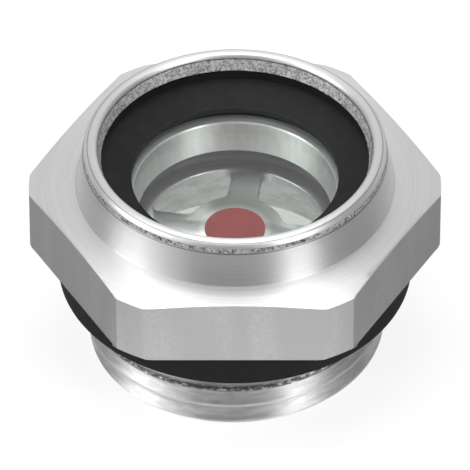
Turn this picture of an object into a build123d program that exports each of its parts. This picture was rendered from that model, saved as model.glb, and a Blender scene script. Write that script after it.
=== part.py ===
"""Screw-in tank level gauge: a hexagon-headed body with a glass window and a slotted reflector.

Millimetres, +Z up along the axis. The origin is on the axis, in the plane where the outer
seal meets the tank: the head stands above it and the thread goes down into the boss.
"""
from build123d import *

import os
from math import radians, tan

# Head: a hexagon milled on a blank that was turned round first
hex_flats = 41.0              # across flats
corner_diameter = 45.4        # the six corners are turned down to this
head_height = 8.0
head_chamfer_angle = 15.0     # degrees, turned on the top corners
head_edge_break = 0.15        # round the foot of the hexagon

# Collar above the head; its lip is rolled inwards over the washer
collar_base_diameter = 34.8
collar_top_diameter = 33.2
collar_height = 5.3
collar_foot_radius = 0.2
lip_shoulder_radius = 0.9     # outside corner left by the rolling tool
lip_mouth_diameter = 30.4     # at the top of the rim, before its edge is rounded
lip_mouth_radius = 0.5
lip_edge_diameter = 29.4      # the innermost, lower edge of the lip
lip_thickness = 1.9

# Shank: an ISO 228 G1 thread below a relief
thread_major_diameter = 33.249
thread_relief_diameter = 30.0
thread_start_chamfer = 0.6    # above the full crests, which start at the tank face
shank_length = 8.8            # below the tank face
shank_end_chamfer = 0.4

# Land: the ring inside the body that the glass stands on
window_seat_depth = 2.3       # from the top of the head down to the land
land_height = 3.84
land_top_diameter = 22.2
land_foot_diameter = 21.2
land_edge_radius = 0.2

# Bore on the oil side, open at the end of the shank
oil_bore_diameter = 26.1
oil_bore_chamfer = 0.5

# Glass disc
glass_diameter = 30.8
glass_thickness = 2.4
glass_edge_break = 0.15
glass_side_clearance = 0.2

# Moulded washer between the glass and the lip, with a raised bead under the lip
washer_inner_diameter = 22.8
washer_inner_thickness = 0.75
washer_inner_radius = 0.2     # rounding of the hole's top edge
washer_face_rise = 1.25       # from the hole out to the bead
washer_bead_diameter = 29.8   # inside of the bead
washer_side_clearance = 0.1

# O-ring below the glass, in a groove of the land
o_ring_section = 1.5
o_ring_centre_diameter = 26.6
o_ring_side_clearance = 0.15

# Flat outer seal between the head and the tank
seal_outer_diameter = 39.2
seal_thickness = 4.4
seal_thread_clearance = 0.2
seal_edge_break = 0.2

# Reflector: a shallow cup pressed from sheet and pushed into the oil bore
reflector_side_clearance = 0.03
reflector_sheet = 0.8
reflector_depth = 2.1         # from the land's underside down to the reflecting floor
reflector_bend_radius = 0.5   # inside the bend
window_outer_diameter = 19.9
hub_diameter = 10.9
spoke_width = 3.4
window_corner_radius = 0.9
spoke_turn = -8.6             # degrees, from the line through two hexagon corners

# Red enamel spot on the reflector's hub
spot_diameter = 6.7
spot_thickness = 0.15

# Heights that follow from the sizes above
tank_face = 0.0
head_bottom = tank_face + seal_thickness
head_top = head_bottom + head_height
rim_top = head_top + collar_height
lip_bottom = rim_top - lip_thickness
land_top = head_top - window_seat_depth
land_bottom = land_top - land_height
glass_top = land_top + glass_thickness
shank_end = tank_face - shank_length
floor_top = land_bottom - reflector_depth
floor_bottom = floor_top - reflector_sheet

# Radii that follow from the sizes above
thread_radius = thread_major_diameter / 2
relief_radius = thread_relief_diameter / 2
seat_radius = glass_diameter / 2 + glass_side_clearance
oil_bore_radius = oil_bore_diameter / 2


def turned(points, roundings=()):
    """Revolve the outline through points (radius, height) about Z.

    Each rounding is a corner of the outline and the radius that it gets first.
    """
    section = make_face(Polyline(*points, close=True))
    for corner, radius in roundings:
        nearest = section.vertices().sort_by_distance(corner)[0]
        section = fillet(nearest, radius)
    return revolve(Plane.XZ * section, Axis.Z)


def hexagon_head():
    """The milled hexagon, one flat facing -Y, with its turned corners and top chamfer."""
    corner_radius = corner_diameter / 2
    flat_radius = hex_flats / 2
    corner_drop = (corner_radius - flat_radius) * tan(radians(head_chamfer_angle))
    blank = turned([
        (0, head_bottom),
        (corner_radius - head_edge_break, head_bottom),
        (corner_radius, head_bottom + head_edge_break),
        (corner_radius, head_top - corner_drop),
        (flat_radius, head_top),
        (0, head_top),
    ])
    hexagon = RegularPolygon(flat_radius, 6, major_radius=False)
    prism = Pos(0, 0, head_bottom) * extrude(hexagon, head_height)
    return blank & prism


def collar():
    """The round collar up to the rim, with its foot radius and the rolled shoulder."""
    foot = (collar_base_diameter / 2, head_top)
    shoulder = (collar_top_diameter / 2, rim_top)
    root = foot[0] + 2 * collar_foot_radius
    outline = [(0, head_bottom), (root, head_bottom), (root, head_top), foot, shoulder, (0, rim_top)]
    return turned(outline, [(foot, collar_foot_radius), (shoulder, lip_shoulder_radius)])


def shank():
    """The shank at the thread's major diameter, with its relief and end chamfer."""
    return turned([
        (0, shank_end),
        (thread_radius - shank_end_chamfer, shank_end),
        (thread_radius, shank_end + shank_end_chamfer),
        (thread_radius, tank_face),
        (thread_radius - thread_start_chamfer, tank_face + thread_start_chamfer),
        (relief_radius, tank_face + thread_start_chamfer),
        (relief_radius, head_bottom),
        (0, head_bottom),
    ])


def bore():
    """The stepped hole: mouth, overhanging lip, glass seat, tapered land and oil bore."""
    mouth = (lip_mouth_diameter / 2, rim_top)
    flare = mouth[0] + 2 * lip_mouth_radius
    land_edge = (land_top_diameter / 2, land_top)
    outline = [
        (0, rim_top + lip_mouth_radius),
        (flare, rim_top + lip_mouth_radius),
        (flare, rim_top),
        mouth,
        (lip_edge_diameter / 2, lip_bottom),
        (seat_radius, lip_bottom),
        (seat_radius, land_top),
        land_edge,
        (land_foot_diameter / 2, land_bottom),
        (oil_bore_radius, land_bottom),
        (oil_bore_radius, shank_end + oil_bore_chamfer),
        (oil_bore_radius + oil_bore_chamfer, shank_end),
        (0, shank_end),
    ]
    return turned(outline, [(mouth, lip_mouth_radius), (land_edge, land_edge_radius)])


def o_ring_groove():
    """The groove in the land's top face; its floor and the glass both touch the O-ring."""
    centre = o_ring_centre_diameter / 2
    half_width = o_ring_section / 2 + o_ring_side_clearance
    floor = land_top - o_ring_section
    inner = centre - half_width
    outer = centre + half_width
    return turned([(inner, floor), (outer, floor), (outer, land_top), (inner, land_top)])


def body():
    """The one-piece aluminium body."""
    return hexagon_head() + collar() + shank() - bore() - o_ring_groove()


def outer_seal():
    """The flat rubber ring under the head; it slips over the thread."""
    inner = thread_radius + seal_thread_clearance
    outer = seal_outer_diameter / 2
    return turned([
        (inner, tank_face),
        (outer - seal_edge_break, tank_face),
        (outer, tank_face + seal_edge_break),
        (outer, head_bottom - seal_edge_break),
        (outer - seal_edge_break, head_bottom),
        (inner, head_bottom),
    ])


def window_glass():
    """The flat glass disc on the land."""
    outer = glass_diameter / 2
    return turned([
        (0, land_top),
        (outer - glass_edge_break, land_top),
        (outer, land_top + glass_edge_break),
        (outer, glass_top - glass_edge_break),
        (outer - glass_edge_break, glass_top),
        (0, glass_top),
    ])


def window_washer():
    """The rubber washer: a sloping face inside, and a bead that the lip presses down."""
    hole_edge = (washer_inner_diameter / 2, glass_top + washer_inner_thickness)
    bead = washer_bead_diameter / 2
    outer = seat_radius - washer_side_clearance
    outline = [
        (hole_edge[0], glass_top),
        (outer, glass_top),
        (outer, lip_bottom),
        (bead, lip_bottom),
        (bead, hole_edge[1] + washer_face_rise),
        hole_edge,
    ]
    return turned(outline, [(hole_edge, washer_inner_radius)])


def glass_o_ring():
    """The O-ring that seals the oil side of the glass."""
    ring = Torus(o_ring_centre_diameter / 2, o_ring_section / 2)
    return Pos(0, 0, land_top - o_ring_section / 2) * ring


def reflector_windows():
    """The four openings between the hub, the spokes and the outer ring, as one sketch."""
    spoke = Rectangle(window_outer_diameter, spoke_width)
    openings = Circle(window_outer_diameter / 2) - Circle(hub_diameter / 2)
    openings = openings - spoke - Rot(0, 0, 90) * spoke
    openings = fillet(openings.vertices(), window_corner_radius)
    return Rot(0, 0, spoke_turn) * openings


def reflector():
    """The pressed cup: its rim stands against the land, its floor has the four openings."""
    outer = oil_bore_radius - reflector_side_clearance
    inner = outer - reflector_sheet
    outer_corner = (outer, floor_bottom)
    inner_corner = (inner, floor_top)
    outline = [
        (0, floor_bottom),
        outer_corner,
        (outer, land_bottom),
        (inner, land_bottom),
        inner_corner,
        (0, floor_top),
    ]
    bend = reflector_bend_radius
    cup = turned(outline, [(outer_corner, bend + reflector_sheet), (inner_corner, bend)])
    punch = Pos(0, 0, floor_bottom) * extrude(reflector_windows(), reflector_sheet)
    return cup - punch


def red_spot():
    """The round enamel spot that the oil hides or shows."""
    half = spot_thickness / 2
    return Pos(0, 0, floor_top + half) * Cylinder(spot_diameter / 2, spot_thickness)


sub_parts = {
    "body": body(),
    "outer_seal": outer_seal(),
    "window_washer": window_washer(),
    "window_glass": window_glass(),
    "glass_o_ring": glass_o_ring(),
    "reflector": reflector(),
    "red_spot": red_spot(),
}

os.makedirs("parts", exist_ok=True)
for name, shape in sub_parts.items():
    export_step(shape, f"parts/{name}.step")
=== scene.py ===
"""The looks of a screw-in tank level gauge: metal, rubber, glass and enamel round the fixed frame."""

from collections import namedtuple
from math import atan2, cos, hypot, pi, radians, sin, sqrt, tan

import bmesh
import bpy
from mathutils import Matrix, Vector, noise


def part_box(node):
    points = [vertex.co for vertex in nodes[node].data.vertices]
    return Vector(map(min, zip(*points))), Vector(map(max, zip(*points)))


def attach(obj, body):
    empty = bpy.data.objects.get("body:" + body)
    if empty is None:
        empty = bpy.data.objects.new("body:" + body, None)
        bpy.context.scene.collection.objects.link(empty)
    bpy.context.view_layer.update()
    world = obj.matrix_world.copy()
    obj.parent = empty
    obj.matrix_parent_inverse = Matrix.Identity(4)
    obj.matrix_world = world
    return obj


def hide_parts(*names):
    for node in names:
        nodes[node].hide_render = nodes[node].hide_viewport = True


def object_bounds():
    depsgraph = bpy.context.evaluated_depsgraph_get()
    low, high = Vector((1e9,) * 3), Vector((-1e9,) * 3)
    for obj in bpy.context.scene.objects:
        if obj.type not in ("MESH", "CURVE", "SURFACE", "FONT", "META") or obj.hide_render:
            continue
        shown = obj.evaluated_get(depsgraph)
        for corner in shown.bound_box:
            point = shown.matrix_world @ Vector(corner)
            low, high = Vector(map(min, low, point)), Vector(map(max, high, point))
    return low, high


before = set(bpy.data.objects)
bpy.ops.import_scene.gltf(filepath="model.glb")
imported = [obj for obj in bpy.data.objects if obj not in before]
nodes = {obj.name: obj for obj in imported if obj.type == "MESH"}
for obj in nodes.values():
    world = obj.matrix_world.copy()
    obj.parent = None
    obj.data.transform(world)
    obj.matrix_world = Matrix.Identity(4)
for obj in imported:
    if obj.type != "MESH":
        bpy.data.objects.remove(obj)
cad_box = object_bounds()
mm = 0.001


# ---------------------------------------------------------------------------------------------
# Body: one aluminium bar, turned to the collar, the stepped bore and the thread, then milled to
# a hexagon. The collar's lip is rolled inwards over the washer, which leaves its inner wall torn
# and a rough tool line round the outside. It stands on the end of its thread.
# ---------------------------------------------------------------------------------------------
body_low, body_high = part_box("body")
seal_low, seal_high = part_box("outer_seal")
glass_low, glass_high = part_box("window_glass")
reflector_low, reflector_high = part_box("reflector")
barely = 0.01 * mm
turning_steps = 320

# Heights, from the shank's end up
shank_end = body_low.z
tank_face = seal_low.z
head_bottom = seal_high.z
head_top = head_bottom + 8.0 * mm
land_bottom = reflector_high.z
land_top = glass_low.z
groove_floor = land_top - 1.5 * mm
rim_top = body_high.z
lip_bottom = rim_top - 1.9 * mm

# The hexagon, its turned corners and its underside
corner_radius = body_high.x
flat_distance = body_high.y
corner_drop = (corner_radius - flat_distance) * tan(radians(15))
chamfer_start = 20.2 * mm
underside_ring = 19.4 * mm
beyond_collar = 18.0 * mm
foot_break = 0.15 * mm
flat_edge_break = 0.11 * mm

# The collar's foot, and the rolling tool's line as (radius, depth below the rim) in millimetres
foot_centre = 17.6 * mm
foot_radius = 0.2 * mm
tool_line = (
    (16.8, 1.3), (16.73, 1.2), (16.69, 1.08), (16.67, 0.96), (16.64, 0.84), (16.6, 0.72), (16.6, 0.62)
)
shoulder_centre = 15.83 * mm
shoulder_radius = 0.9 * mm

# The rolled lip: a rounded mouth, a wall that leans inwards and a small lower edge
mouth_centre = 15.6 * mm
mouth_radius = 0.5 * mm
lip_wall_top = Vector((15.1 * mm, rim_top - 0.4 * mm))
lip_wall_foot = Vector((14.72 * mm, rim_top - 1.86 * mm))
lip_wall_rows = 10
lip_edge_radius = 14.76 * mm

# Inside: the glass's seat, the O-ring's groove, the land and the bore on the oil side
seat_radius = glass_high.x + 0.2 * mm
groove_outer = 14.2 * mm
groove_inner = 12.4 * mm
land_edge_centre = 11.28 * mm
land_edge_radius = 0.2 * mm
inside_land = 11.26 * mm
land_foot_radius = 10.72 * mm
land_foot_break = 0.12 * mm
oil_bore = reflector_high.x + 0.03 * mm
oil_bore_chamfer = 0.5 * mm

# The thread: 11 turns to the inch, 55 degrees between its flanks, rounded roots and flat crests
thread_pitch = 25.4 / 11 * mm
thread_depth = 0.640327 * thread_pitch
thread_rounding = 0.137329 * thread_pitch
thread_flank = radians(27.5)
crest_radius = 33.249 / 2 * mm
crest_softness = 0.1 * mm
relief_radius = 15.0 * mm
end_chamfer = 0.4 * mm
start_chamfer = 0.6 * mm
thread_bottom = shank_end + end_chamfer
thread_top = tank_face + start_chamfer
front_root_height = -4.8 * mm
thread_rows = 104


def from_axis(point):
    """How far a point lies from the gauge's axis."""
    return hypot(point.x, point.y)


def arc(centre, radius, first, last, points):
    """Points (radius, height) along an arc; the angles are in degrees, from outwards to up."""
    turns = [radians(first + (last - first) * i / (points - 1)) for i in range(points)]
    return [(centre[0] + radius * cos(t), centre[1] + radius * sin(t)) for t in turns]


def turn(name, outline, steps):
    """Draw an outline (radius, height) point by point beside the axis and spin it into a piece."""
    bpy.ops.object.select_all(action="DESELECT")
    start = outline[0]
    bpy.ops.mesh.primitive_plane_add(size=mm, location=(start[0], 0, start[1]))
    piece = bpy.context.object
    piece.name = name
    bpy.ops.object.mode_set(mode="EDIT")
    bpy.ops.mesh.select_all(action="SELECT")
    bpy.ops.mesh.merge(type="CENTER")
    for here, there in zip(outline, outline[1:]):
        step = (there[0] - here[0], 0, there[1] - here[1])
        bpy.ops.mesh.extrude_region_move(TRANSFORM_OT_translate={"value": step})
    bpy.ops.mesh.select_all(action="SELECT")
    bpy.ops.mesh.spin(steps=steps, angle=2 * pi, center=(0, 0, 0), axis=(0, 0, 1))
    bpy.ops.mesh.select_all(action="SELECT")
    bpy.ops.mesh.remove_doubles(threshold=0.0005 * mm)
    bpy.ops.mesh.normals_make_consistent(inside=False)
    bpy.ops.object.mode_set(mode="OBJECT")
    bpy.ops.object.transform_apply(location=True, rotation=True, scale=True)
    return piece


shank_wall = [
    (crest_radius, thread_bottom + (tank_face - thread_bottom) * row / thread_rows)
    for row in range(thread_rows + 1)
]
lip_wall = [
    tuple(lip_wall_top.lerp(lip_wall_foot, row / lip_wall_rows)) for row in range(1, lip_wall_rows + 1)
]
outline = (
    [(oil_bore + oil_bore_chamfer, shank_end), (crest_radius - end_chamfer, shank_end)]
    + shank_wall
    + [
        (crest_radius - start_chamfer / 2, tank_face + start_chamfer / 2),
        (crest_radius - start_chamfer, thread_top),
        (relief_radius, thread_top),
        (relief_radius, head_bottom),
        (underside_ring, head_bottom),
        (corner_radius - foot_break, head_bottom),
        (corner_radius, head_bottom + foot_break),
        (corner_radius, head_top - corner_drop),
        (chamfer_start, head_top),
    ]
    + arc((foot_centre, head_top + foot_radius), foot_radius, 270, 184, 4)
    + [(radius * mm, rim_top - depth * mm) for radius, depth in tool_line]
    + arc((shoulder_centre, rim_top - shoulder_radius), shoulder_radius, 25, 90, 9)
    + arc((mouth_centre, rim_top - mouth_radius), mouth_radius, 90, 165, 7)
    + lip_wall
    + [
        (lip_edge_radius, lip_bottom),
        (seat_radius, lip_bottom),
        (seat_radius, land_top),
        (groove_outer, land_top),
        (groove_outer, groove_floor),
        (groove_inner, groove_floor),
        (groove_inner, land_top),
    ]
    + arc((land_edge_centre, land_top - land_edge_radius), land_edge_radius, 90, 174, 4)
    + [
        (land_foot_radius, land_bottom + land_foot_break),
        (land_foot_radius + land_foot_break, land_bottom),
        (oil_bore, land_bottom),
        (oil_bore, shank_end + oil_bore_chamfer),
        (oil_bore + oil_bore_chamfer, shank_end),
    ]
)


def thread_drop(height, angle):
    """How far the thread's surface lies below the blank at a height and an angle round the axis."""
    front = -pi / 2
    turns = (height - front_root_height) / thread_pitch - (angle - front) / (2 * pi)
    from_root = abs(turns - round(turns)) * thread_pitch
    if from_root < thread_rounding * cos(thread_flank):
        return thread_depth - thread_rounding + sqrt(thread_rounding ** 2 - from_root ** 2)
    half_groove = (thread_depth - thread_rounding) * tan(thread_flank)
    half_groove += thread_rounding / cos(thread_flank)
    flank = (half_groove - from_root) / tan(thread_flank)
    return (flank + sqrt(flank ** 2 + crest_softness ** 2)) / 2


def cut_thread(piece):
    """Sink the shank's outer wall into the thread; it never stands out of the turned blank."""
    for vertex in piece.data.vertices:
        x, y, z = vertex.co
        radius = from_axis(vertex.co)
        if radius > relief_radius + barely and z < thread_top + barely:
            drop = thread_drop(z, atan2(y, x))
            cut = min(radius, max(crest_radius - drop, relief_radius))
            vertex.co = (x * cut / radius, y * cut / radius, z)


def on_torn_metal(point, normal=None):
    """True on the lip's inner wall and in the tool line outside, where the rolling tore the metal."""
    radius = from_axis(point)
    inner_wall = radius < lip_wall_top.x + 0.02 * mm and lip_bottom + barely < point.z < lip_wall_top.y
    in_tool_line = radius > 16.45 * mm and 0.55 * mm < rim_top - point.z < 1.1 * mm
    return inner_wall or in_tool_line


def tear_metal(piece):
    """Roughen the torn metal, more on the lip's inner wall than outside."""
    tears_per_metre = 3000
    for vertex in piece.data.vertices:
        if on_torn_metal(vertex.co):
            radius = from_axis(vertex.co)
            reach = 0.05 * mm if radius < mouth_centre else 0.035 * mm
            out = 1 + noise.noise(vertex.co * tears_per_metre) * reach / radius
            vertex.co = (vertex.co.x * out, vertex.co.y * out, vertex.co.z)


def select_faces(piece, wanted):
    """In edit mode, select the faces whose middle and normal suit, and nothing else."""
    bpy.ops.mesh.select_all(action="DESELECT")
    mesh = bmesh.from_edit_mesh(piece.data)
    for face in mesh.faces:
        face.select_set(wanted(face.calc_center_median(), face.normal))
    bmesh.update_edit_mesh(piece.data)


def in_head(middle, normal):
    """True on the head outside the collar, which the flats cut."""
    return from_axis(middle) > beyond_collar and middle.z > head_bottom - barely


def on_flat(middle, normal):
    """True on the six milled flats."""
    upright = abs(normal.z) < 0.001
    return in_head(middle, normal) and upright and from_axis(middle) < flat_distance + 0.3 * mm


gauge_body = turn("gauge_body", outline, turning_steps)
cut_thread(gauge_body)
tear_metal(gauge_body)

# Each of the six flats cuts the head's edge off, and then its own edges are broken
bpy.ops.object.mode_set(mode="EDIT")
for side in range(6):
    facing = Vector((sin(side * pi / 3), -cos(side * pi / 3), 0))
    select_faces(gauge_body, in_head)
    bpy.ops.mesh.bisect(
        plane_co=facing * flat_distance, plane_no=facing, use_fill=True, clear_outer=True
    )
select_faces(gauge_body, on_flat)
bpy.ops.mesh.region_to_loop()
bpy.ops.mesh.bevel(offset=flat_edge_break, segments=2, affect="EDGES", clamp_overlap=False)
bpy.ops.mesh.select_all(action="SELECT")
bpy.ops.mesh.normals_make_consistent(inside=False)
bpy.ops.object.mode_set(mode="OBJECT")
bpy.ops.object.shade_smooth_by_angle(angle=radians(28))
weighting = gauge_body.modifiers.new("weighting", "WEIGHTED_NORMAL")
weighting.keep_sharp = True
bpy.ops.object.modifier_apply(modifier=weighting.name)


class Wire:
    """A socket of a material's nodes. Arithmetic on it adds Math nodes."""

    def __init__(self, tree, socket=None):
        self.tree = tree
        self.socket = socket

    def node(self, kind, settings, inputs, output=0):
        """Add a node: its settings first, then the values or links of its sockets."""
        made = self.tree.nodes.new("ShaderNode" + kind)
        for name, value in settings.items():
            setattr(made, name, value)
        for name, value in inputs.items():
            if isinstance(value, Wire):
                self.tree.links.new(value.socket, made.inputs[name])
            else:
                made.inputs[name].default_value = value
        return Wire(self.tree, made.outputs[output])

    def math(self, operation, *others):
        """Add a Math node that takes this socket first."""
        return self.node("Math", {"operation": operation}, dict(enumerate((self, *others))))

    def __add__(self, other):
        return self.math("ADD", other)

    def __radd__(self, other):
        return self.math("ADD", other)

    def __sub__(self, other):
        return self.math("SUBTRACT", other)

    def __rsub__(self, other):
        return self.math("MULTIPLY_ADD", -1, other)

    def __mul__(self, other):
        return self.math("MULTIPLY", other)

    def __rmul__(self, other):
        return self.math("MULTIPLY", other)

    def __truediv__(self, other):
        return self.math("DIVIDE", other)

    def __pow__(self, other):
        return self.math("POWER", other)

    def __abs__(self):
        return self.math("ABSOLUTE")

    def band(self, low, high):
        """0 below low, 1 above high, and smooth between."""
        span = {"From Min": low, "From Max": high, "Value": self}
        return self.node("MapRange", {"interpolation_type": "SMOOTHSTEP"}, span)

    def noise(self, scale, detail=2.0):
        """Soft noise from 0 to 1 at this place."""
        inputs = {"Vector": self, "Scale": scale, "Detail": detail, "Roughness": 0.6}
        return self.node("TexNoise", {"noise_dimensions": "3D"}, inputs)

    def mix(self, first, second):
        """The first colour where this is 0, the second where it is 1."""
        blend = {"data_type": "RGBA"}
        return self.node("Mix", blend, {"Factor": self, "A": first, "B": second}, "Result")

    def parts(self):
        """The x, y and z of this vector."""
        outputs = self.node("SeparateXYZ", {}, {"Vector": self}).socket.node.outputs
        return [Wire(self.tree, output) for output in outputs]


Place = namedtuple("Place", "vector x y z radius angle")


def place_on_piece(tree):
    """Where a point of a piece lies, in mm, with its distance from the axis and its angle round it."""
    coordinate = Wire(tree).node("TexCoord", {}, {}, "Object")
    vector = coordinate.node("VectorMath", {"operation": "SCALE"}, {"Vector": coordinate, "Scale": 1 / mm})
    x, y, z = vector.parts()
    return Place(vector, x, y, z, radius=(x * x + y * y) ** 0.5, angle=y.math("ARCTAN2", x))


def new_finish(name, constants):
    """A material with one Principled shader; returns it, its shader and the place on the piece."""
    material = bpy.data.materials.new(name)
    material.use_nodes = True
    tree = material.node_tree
    tree.nodes.clear()
    shader = tree.nodes.new("ShaderNodeBsdfPrincipled")
    for socket, value in constants.items():
        shader.inputs[socket].default_value = value
    out = tree.nodes.new("ShaderNodeOutputMaterial")
    tree.links.new(shader.outputs[0], out.inputs["Surface"])
    return material, shader, place_on_piece(tree)


def connect(shader, **sources):
    """Lead what varies into the shader's sockets; underscores stand for spaces."""
    for socket, wire in sources.items():
        wire.tree.links.new(wire.socket, shader.inputs[socket.replace("_", " ")])


def joined(x, y, z):
    """Three values as one vector."""
    return x.node("CombineXYZ", {}, {"X": x, "Y": y, "Z": z})


def bump(height, distance, under=None):
    """A bump from a height of 0 to 1 over a distance in metres, laid over another bump if given."""
    inputs = {"Height": height, "Distance": distance, "Strength": 1.0}
    if under is not None:
        inputs["Normal"] = under
    return height.node("Bump", {}, inputs)


def turning_rings(at):
    """Faint rings round the axis, left by the cutting tool."""
    return joined(at.radius * 6, at.z * 6, at.angle * 0.5).noise(1.0)


def turned_aluminium():
    """Turned metal: fine rings round the axis, which draw every highlight out across the cut."""
    constants = {"Metallic": 1.0, "Anisotropic": 0.95, "Anisotropic Rotation": 0.25}
    material, shader, at = new_finish("turned_aluminium", constants)
    rings = turning_rings(at)
    fine = joined(at.radius * 25, at.z * 25, at.angle * 1.5).noise(1.0)
    metal = rings.band(0.3, 0.7).mix((0.76, 0.763, 0.76, 1), (0.82, 0.823, 0.82, 1))
    line_height = rim_top / mm - 1.2
    line = 1 - abs(at.z - line_height).band(0.03, 0.09)
    tone = line.mix(metal, (0.35, 0.35, 0.35, 1))
    marks = bump(fine, 0.0012 * mm, bump(rings, 0.002 * mm))
    connect(shader, Base_Color=tone, Roughness=0.42 + rings * 0.12, Normal=marks)
    return material


def faced_aluminium():
    """The rim and the head's top: faced metal, almost even, with faint rings and a line on the rim."""
    constants = {"Metallic": 1.0, "Anisotropic": 0.65, "Anisotropic Rotation": 0.25}
    material, shader, at = new_finish("faced_aluminium", constants)
    rings = turning_rings(at)
    fine = joined(at.radius * 20, at.z * 20, at.angle * 2).noise(1.0)
    metal = rings.band(0.3, 0.7).mix((0.78, 0.783, 0.78, 1), (0.84, 0.843, 0.84, 1))
    line_radius = 16.22
    on_rim = at.z.band(rim_top / mm - 1.2, rim_top / mm - 1.1)
    line = (1 - abs(at.radius - line_radius).band(0.03, 0.09)) * on_rim
    tone = line.mix(metal, (0.42, 0.42, 0.42, 1))
    marks = bump(fine, 0.0008 * mm, bump(rings, 0.0016 * mm))
    connect(shader, Base_Color=tone, Roughness=0.36 + rings * 0.1, Normal=marks)
    return material


def milled_aluminium():
    """The side of the hexagon: upright milling marks in soft, broad bands, with a fine grain."""
    material, shader, at = new_finish("milled_aluminium", {"Metallic": 1.0})
    streaks = joined(at.x * 4, at.y * 4, at.z * 0.3).noise(1.0)
    bands = joined(at.x * 0.35, at.y * 0.35, at.z * 0.05).noise(1.0, 0.0)
    specks = at.vector.noise(2.2, 3.0)
    soft = bands.band(0.3, 0.7).mix((0.57, 0.582, 0.57, 1), (0.64, 0.648, 0.637, 1))
    tone = specks.band(0.35, 0.75).mix(soft, (0.55, 0.56, 0.55, 1))
    marks = bump(specks, 0.0025 * mm, bump(streaks, 0.003 * mm))
    connect(shader, Base_Color=tone, Roughness=0.32 + streaks * 0.12, Normal=marks)
    return material


def rolled_lip():
    """Metal that the rolling tool tore: a bright, broken, grainy surface, darker outside."""
    constants = {"Metallic": 0.6, "Anisotropic": 0.8, "Anisotropic Rotation": 0.25}
    material, shader, at = new_finish("rolled_lip", constants)
    along = joined(at.angle * 24, at.radius * 1.2, at.z * 1.4)
    grain = along.noise(2.8, 3.0)
    tears = along.noise(1.0, 3.0)
    spots = (grain * 0.6 + tears * 0.4).band(0.38, 0.58)
    line_height = rim_top / mm - 0.47
    line = 1 - abs(at.z - line_height).band(0.03, 0.1)
    inside = line.mix(spots.mix((0.38, 0.38, 0.38, 1), (1.0, 1.0, 1.0, 1)), (0.12, 0.12, 0.12, 1))
    outside = spots.mix((0.06, 0.06, 0.06, 1), (0.75, 0.75, 0.75, 1))
    tone = at.radius.band(15.8, 16.2).mix(inside, outside)
    connect(shader, Base_Color=tone, Roughness=0.24 + tears * 0.2, Normal=bump(grain, 0.15 * mm))
    return material


def cut_thread_finish():
    """The thread: smooth and drawn out along the cut, rough and speckled dark on one crest near the front,
    where it begins.
    """
    constants = {"Metallic": 1.0, "Anisotropic": 0.9, "Anisotropic Rotation": 0.25}
    material, shader, at = new_finish("cut_thread", constants)
    round_front = at.x.math("ARCTAN2", 0 - at.y)
    on_helix = at.z - round_front * (thread_pitch / mm / (2 * pi))
    rough_dark_crest = -3.62
    on_crest = 1 - abs(on_helix - rough_dark_crest).band(0.22, 0.42)
    start = on_crest * (1 - abs(round_front).band(0.8, 1.5))
    rings = joined(at.radius * 8, at.z * 8, round_front * 1.5).noise(1.0)
    grain = joined(at.angle * 16, at.radius * 2, at.z * 2).noise(1.6, 3.0)
    drawn = joined(at.x * 0.4, at.y * 0.4, on_helix * 5).noise(1.0)
    cut = drawn.band(0.35, 0.65).mix((0.78, 0.785, 0.78, 1), (0.95, 0.955, 0.95, 1))
    dark_speckles = start * grain.band(0.3, 0.55)
    tone = dark_speckles.mix(cut, (0.16, 0.16, 0.16, 1))
    marks = bump(grain * start, 0.1 * mm, bump(drawn, 0.02 * mm, bump(rings, 0.003 * mm)))
    connect(shader, Base_Color=tone, Roughness=0.44 + rings * 0.12, Normal=marks)
    return material


def seat_finish():
    """The land's top under the glass: dull, with an oily film, and kept dark as painted shade under the
    washer.
    """
    material, shader, at = new_finish("seat_metal", {"Metallic": 0.7})
    film = joined(at.radius * 2, at.z * 2, at.angle * 2).noise(1.0)
    # The dark tone is painted shade: the land's top lies under the washer.
    tone = film.mix((0.34, 0.343, 0.34, 1), (0.42, 0.423, 0.42, 1))
    connect(shader, Base_Color=tone, Roughness=0.55 + film * 0.1, Normal=bump(film, 0.003 * mm))
    return material


def bored_aluminium():
    """The bore on the oil side: darker above, and painted almost white below a height, a painted
    reflection of the white table beneath the bore.
    """
    material, shader, at = new_finish("bored_aluminium", {"Metallic": 1.0})
    clouds = joined(at.angle * 4, at.z * 0.6, at.radius).noise(1.0, 3.0)
    dull = clouds.band(0.3, 0.7).mix((0.36, 0.385, 0.365, 1), (0.5, 0.53, 0.505, 1))
    # Below this height the bore is painted almost white: a painted reflection of the white table beneath
    # it.
    painted_reflection_top = -3.4
    above = at.z.band(painted_reflection_top - 0.1, painted_reflection_top + 0.1)
    tone = above.mix((0.88, 0.92, 0.885, 1), dull)
    connect(shader, Base_Color=tone, Roughness=0.22 + clouds * 0.1, Normal=bump(clouds, 0.004 * mm))
    return material


def land_wall_finish():
    """The tapered wall inside the land: bored smooth, a little dull behind the glass."""
    constants = {"Metallic": 1.0, "Anisotropic": 0.92, "Anisotropic Rotation": 0.25}
    material, shader, at = new_finish("land_wall", constants)
    rings = turning_rings(at)
    streaks = joined(at.angle * 14, at.radius, at.z * 0.4).noise(1.0)
    tone = streaks.band(0.3, 0.7).mix((0.66, 0.665, 0.66, 1), (0.74, 0.745, 0.74, 1))
    marks = bump(streaks, 0.0018 * mm, bump(rings, 0.0012 * mm))
    connect(shader, Base_Color=tone, Roughness=0.37 + rings * 0.1, Normal=marks)
    return material


def on_faced(middle, normal):
    """True on the rim above the tool line and on the head's top."""
    head_face = from_axis(middle) > foot_centre + 0.02 * mm and middle.z > head_bottom + 1 * mm
    return middle.z > rim_top - 0.62 * mm or head_face


def on_side(middle, normal):
    """True on the hexagon's side, both the flats and the turned corners between them."""
    return in_head(middle, normal) and abs(normal.z) < 0.3 and middle.z < head_top - 0.02 * mm


def on_thread(middle, normal):
    """True on the shank's outer wall."""
    return from_axis(middle) > relief_radius + 0.02 * mm and shank_end + barely < middle.z < thread_top


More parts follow.
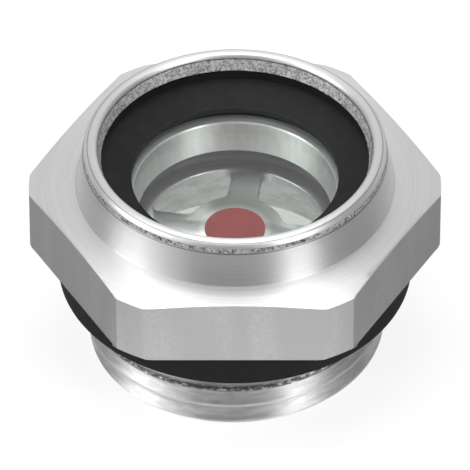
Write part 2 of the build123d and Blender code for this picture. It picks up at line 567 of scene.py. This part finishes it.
def on_seat(middle, normal):
    """True on the land's top and in its groove."""
    in_ring = inside_land < from_axis(middle) < seat_radius + 0.1 * mm
    return in_ring and groove_floor - 0.1 * mm < middle.z < land_top + barely


def in_bore(middle, normal):
    """True on the wall of the bore on the oil side."""
    return from_axis(middle) < oil_bore + barely and middle.z < land_bottom


def on_land_wall(middle, normal):
    """True on the tapered wall inside the land."""
    return from_axis(middle) < inside_land and middle.z > land_bottom - barely


def lay_finish(piece, finish, wanted):
    """Give the faces whose middle and normal suit a finish."""
    piece.data.materials.append(finish)
    number = len(piece.data.materials) - 1
    for face in piece.data.polygons:
        if wanted(face.center, face.normal):
            face.material_index = number


gauge_body.data.materials.append(turned_aluminium())
lay_finish(gauge_body, faced_aluminium(), on_faced)
lay_finish(gauge_body, milled_aluminium(), on_side)
lay_finish(gauge_body, rolled_lip(), on_torn_metal)
lay_finish(gauge_body, cut_thread_finish(), on_thread)
lay_finish(gauge_body, seat_finish(), on_seat)
lay_finish(gauge_body, bored_aluminium(), in_bore)
lay_finish(gauge_body, land_wall_finish(), on_land_wall)
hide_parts("body")
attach(gauge_body, "root")


# ---------------------------------------------------------------------------------------------
# Rubber: the flat outer seal under the head and the washer under the lip are moulded black
# nitrile rubber, and so is the O-ring below the glass. All are held by what clamps them.
# ---------------------------------------------------------------------------------------------
def black_rubber(name, colour, roughness):
    """Moulded rubber: matt black with a faint grain, and paler on the wall of the washer's hole."""
    material, shader, at = new_finish(name, {"Specular IOR Level": 0.25})
    grain = at.vector.noise(6.0, 3.0)
    dust = at.vector.noise(0.5)
    dusty = tuple(1.35 * part for part in colour)
    face = dust.band(0.35, 0.75).mix(colour + (1,), dusty + (1,))
    washer_hole = 11.4
    hole_edge = 1 - at.radius.band(washer_hole + 0.01, washer_hole + 0.1)
    tone = hole_edge.mix(face, (0.04, 0.041, 0.041, 1))
    connect(shader, Base_Color=tone, Roughness=roughness + grain * 0.15, Normal=bump(grain, 0.01 * mm))
    return material


def refinish(node, material):
    """Give a frame node its material."""
    nodes[node].data.materials.clear()
    nodes[node].data.materials.append(material)


refinish("outer_seal", black_rubber("seal_rubber", (0.012, 0.012, 0.012), 0.55))
refinish("window_washer", black_rubber("washer_rubber", (0.013, 0.0135, 0.0135), 0.6))
refinish("glass_o_ring", black_rubber("o_ring_rubber", (0.015, 0.015, 0.015), 0.4))


# ---------------------------------------------------------------------------------------------
# Window: a flat disc of clear glass with a slight green tint, its edges ground. It lies on the
# land, and the washer under the rolled lip clamps it down.
# ---------------------------------------------------------------------------------------------
def window_finish():
    """Clear glass that lets the light of lamps through."""
    constants = {"Transmission Weight": 1.0, "Roughness": 0.0, "IOR": 1.52, "Specular IOR Level": 0.3}
    material, shader, at = new_finish("window_glass", constants)
    tree = material.node_tree
    tint = at.vector.noise(0.1).mix((0.945, 0.965, 0.95, 1), (0.96, 0.975, 0.965, 1))
    connect(shader, Base_Color=tint)
    lamp_ray = tint.node("LightPath", {}, {}, "Is Shadow Ray")
    soft_ray = tint.node("LightPath", {}, {}, "Is Diffuse Ray")
    clear = tint.node("BsdfTransparent", {}, {"Color": (0.88, 0.94, 0.905, 1)})
    share = lamp_ray.math("MAXIMUM", soft_ray)
    surface = share.node("MixShader", {}, {0: share, 1: Wire(tree, shader.outputs[0]), 2: clear})
    tree.links.new(surface.socket, tree.get_output_node("ALL").inputs["Surface"])
    return material


refinish("window_glass", window_finish())


# ---------------------------------------------------------------------------------------------
# Reflector: a shallow cup pressed from bright sheet and pushed into the bore, with four openings
# that let the oil through. The press rounds the upper edges of its openings.
# ---------------------------------------------------------------------------------------------
floor_top = reflector_low.z + 0.8 * mm
window_edge_radius = 0.12 * mm

bpy.ops.object.select_all(action="DESELECT")
cup = nodes["reflector"].copy()
cup.data = cup.data.copy()
cup.name = "reflector_cup"
bpy.context.collection.objects.link(cup)
bpy.context.view_layer.objects.active = cup
cup.select_set(True)
bpy.ops.object.mode_set(mode="EDIT")
bpy.ops.mesh.select_all(action="SELECT")
bpy.ops.mesh.remove_doubles(threshold=0.001 * mm)
bpy.ops.mesh.dissolve_limited(angle_limit=radians(0.5))
bpy.ops.mesh.select_all(action="DESELECT")
cup_mesh = bmesh.from_edit_mesh(cup.data)
for edge in cup_mesh.edges:
    ends = [vertex.co for vertex in edge.verts]
    on_floor = all(abs(end.z - floor_top) < barely for end in ends)
    at_window = all(from_axis(end) < 10.0 * mm for end in ends)
    edge.select_set(on_floor and at_window)
bmesh.update_edit_mesh(cup.data)
bpy.ops.mesh.bevel(offset=window_edge_radius, segments=2, affect="EDGES", clamp_overlap=True)
bpy.ops.object.mode_set(mode="OBJECT")
bpy.ops.object.shade_smooth_by_angle(angle=radians(35))


def pressed_sheet():
    """Satin sheet with faint rings: painted light on the hub beside the spot, and painted shade outwards,
    at the corner and up the wall under the land.
    """
    constants = {"Metallic": 1.0, "Anisotropic": 0.3, "Anisotropic Rotation": 0.25}
    material, shader, at = new_finish("pressed_sheet", constants)
    rings = joined(at.radius * 5, at.z * 5, at.angle).noise(1.0)
    # Painted shade: the sheet is darkened at its corner and darker still up its wall, where it is recessed
    # under the land.
    corner = at.radius.band(9.9, 10.3)
    bend = at.radius.band(11.2, 11.6)
    # Painted light: a pool of light painted on the hub beside the spot, fading outwards.
    floor = at.radius.band(3.5, 4.4).mix((0.68, 0.69, 0.67, 1), (0.42, 0.425, 0.42, 1))
    painted_shade_under_land = bend.mix((0.2, 0.202, 0.2, 1), (0.06, 0.06, 0.06, 1))
    tone = corner.mix(floor, painted_shade_under_land)
    roughness = 0.26 + rings * 0.06 + bend * 0.3
    connect(shader, Base_Color=tone, Roughness=roughness, Normal=bump(rings, 0.001 * mm))
    return material


cup.data.materials.clear()
cup.data.materials.append(pressed_sheet())
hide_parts("reflector")
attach(cup, "root")


# ---------------------------------------------------------------------------------------------
# Red spot: a thin round of red enamel on the reflector's hub, brushed on and left to dry. It is
# the mark that the oil covers or leaves clear.
# ---------------------------------------------------------------------------------------------
def enamel():
    """Red enamel, slightly uneven."""
    material, shader, at = new_finish("red_enamel", {"IOR": 1.5, "Specular IOR Level": 0.15})
    clouds = at.vector.noise(0.8)
    tone = clouds.band(0.3, 0.7).mix((0.36, 0.016, 0.018, 1), (0.43, 0.028, 0.032, 1))
    connect(shader, Base_Color=tone, Roughness=0.35 + clouds * 0.1, Normal=bump(clouds, 0.01 * mm))
    return material


refinish("red_spot", enamel())


# ---------------------------------------------------------------------------------------------
# Studio: a white table, four soft boxes and a plain bright room, which is brighter at the back
# where the metal mirrors it. The camera looks down on the gauge from the front, from far away.
# ---------------------------------------------------------------------------------------------
def ray_kinds(start):
    """1 for rays that look straight or through glass, and 1 for rays mirrored in gloss."""
    camera = start.node("LightPath", {}, {}, "Is Camera Ray")
    glass = start.node("LightPath", {}, {}, "Is Transmission Ray")
    gloss = start.node("LightPath", {}, {}, "Is Glossy Ray")
    return camera.math("MAXIMUM", glass), gloss


def table_finish():
    """A white table: it takes the shadow and is paper white to the eye. In the metal it is dimmer, but it
    glows as painted light in front of the gauge and beneath its bore.
    """
    material = bpy.data.materials.new("white_table")
    material.use_nodes = True
    tree = material.node_tree
    tree.nodes.clear()
    at = place_on_piece(tree)
    direct, gloss = ray_kinds(at.vector)
    # Painted light: in mirrored rays only, the table glows brighter in front of the gauge and beneath its
    # bore, though it is no lamp.
    ahead = (0 - at.y) / at.radius
    painted_glow_ahead = ahead.band(0.2, 0.9) * (1 - at.radius.band(48, 78))
    painted_glow_under_bore = 1 - at.radius.band(12, 13.5)
    mirrored = gloss * (1 - direct) * (0.12 + painted_glow_ahead * 0.44 + painted_glow_under_bore * 0.5)
    strength = direct * 0.78 + mirrored
    paper = strength.node("BsdfDiffuse", {}, {"Color": (0.3, 0.3, 0.3, 1)})
    glow = strength.node("Emission", {}, {"Color": (1, 1, 1, 1), "Strength": strength})
    both = paper.node("AddShader", {}, {0: paper, 1: glow})
    out = tree.nodes.new("ShaderNodeOutputMaterial")
    tree.links.new(both.socket, out.inputs["Surface"])
    return material


bpy.ops.object.select_all(action="DESELECT")
bpy.ops.mesh.primitive_circle_add(
    vertices=64, radius=0.22, fill_type="NGON", location=(0, 0, shank_end)
)
table = bpy.context.object
table.name = "table"
bpy.ops.object.transform_apply(location=True)
table.data.materials.append(table_finish())

world = bpy.data.worlds.new("studio")
bpy.context.scene.world = world
world.use_nodes = True
world.node_tree.nodes.clear()
direction = Wire(world.node_tree).node("TexCoord", {}, {}, "Generated")
towards_back = direction.parts()[1]
direct, gloss = ray_kinds(direction)
mirrored = 0.3 + towards_back.band(0.1, 0.8) * 0.37
elsewhere = gloss * mirrored + (1 - gloss) * 0.32
strength = direct + (1 - direct) * elsewhere
sky = strength.node("Background", {}, {"Color": (1, 1, 1, 1), "Strength": strength})
out = world.node_tree.nodes.new("ShaderNodeOutputWorld")
world.node_tree.links.new(sky.socket, out.inputs["Surface"])

middle = Vector((0, 0, (cad_box[0][2] + cad_box[1][2]) / 2))
lamp_distance = 0.6


def soft_box(name, azimuth, elevation, size, power):
    """A square lamp round the object: azimuth 0 is at the camera's side, 90 on the right."""
    bpy.ops.object.light_add(type="AREA")
    lamp = bpy.context.object
    lamp.name = name
    flat = cos(radians(elevation))
    away = Vector((sin(radians(azimuth)) * flat, -cos(radians(azimuth)) * flat, sin(radians(elevation))))
    lamp.location = middle + away * lamp_distance
    lamp.rotation_euler = away.to_track_quat("Z", "Y").to_euler()
    lamp.data.shape = "SQUARE"
    lamp.data.size = size
    lamp.data.energy = power


soft_box("left_soft_box", azimuth=-79, elevation=40, size=0.24, power=1.1)
soft_box("front_fill", azimuth=-50, elevation=36, size=0.26, power=0.32)
soft_box("right_soft_box", azimuth=47, elevation=40, size=0.2, power=1.05)
soft_box("top_soft_box", azimuth=180, elevation=77, size=0.34, power=1.2)

camera_elevation = radians(41.65)
camera_distance = 0.886
view = Vector((0, -cos(camera_elevation), sin(camera_elevation)))
bpy.ops.object.camera_add(location=middle + view * camera_distance)
camera = bpy.context.object
camera.rotation_euler = view.to_track_quat("Z", "Y").to_euler()
camera.data.sensor_width = 36
camera.data.lens = 613
camera.data.clip_start = 0.01
bpy.context.scene.camera = camera
bpy.context.scene.view_settings.view_transform = "Standard"
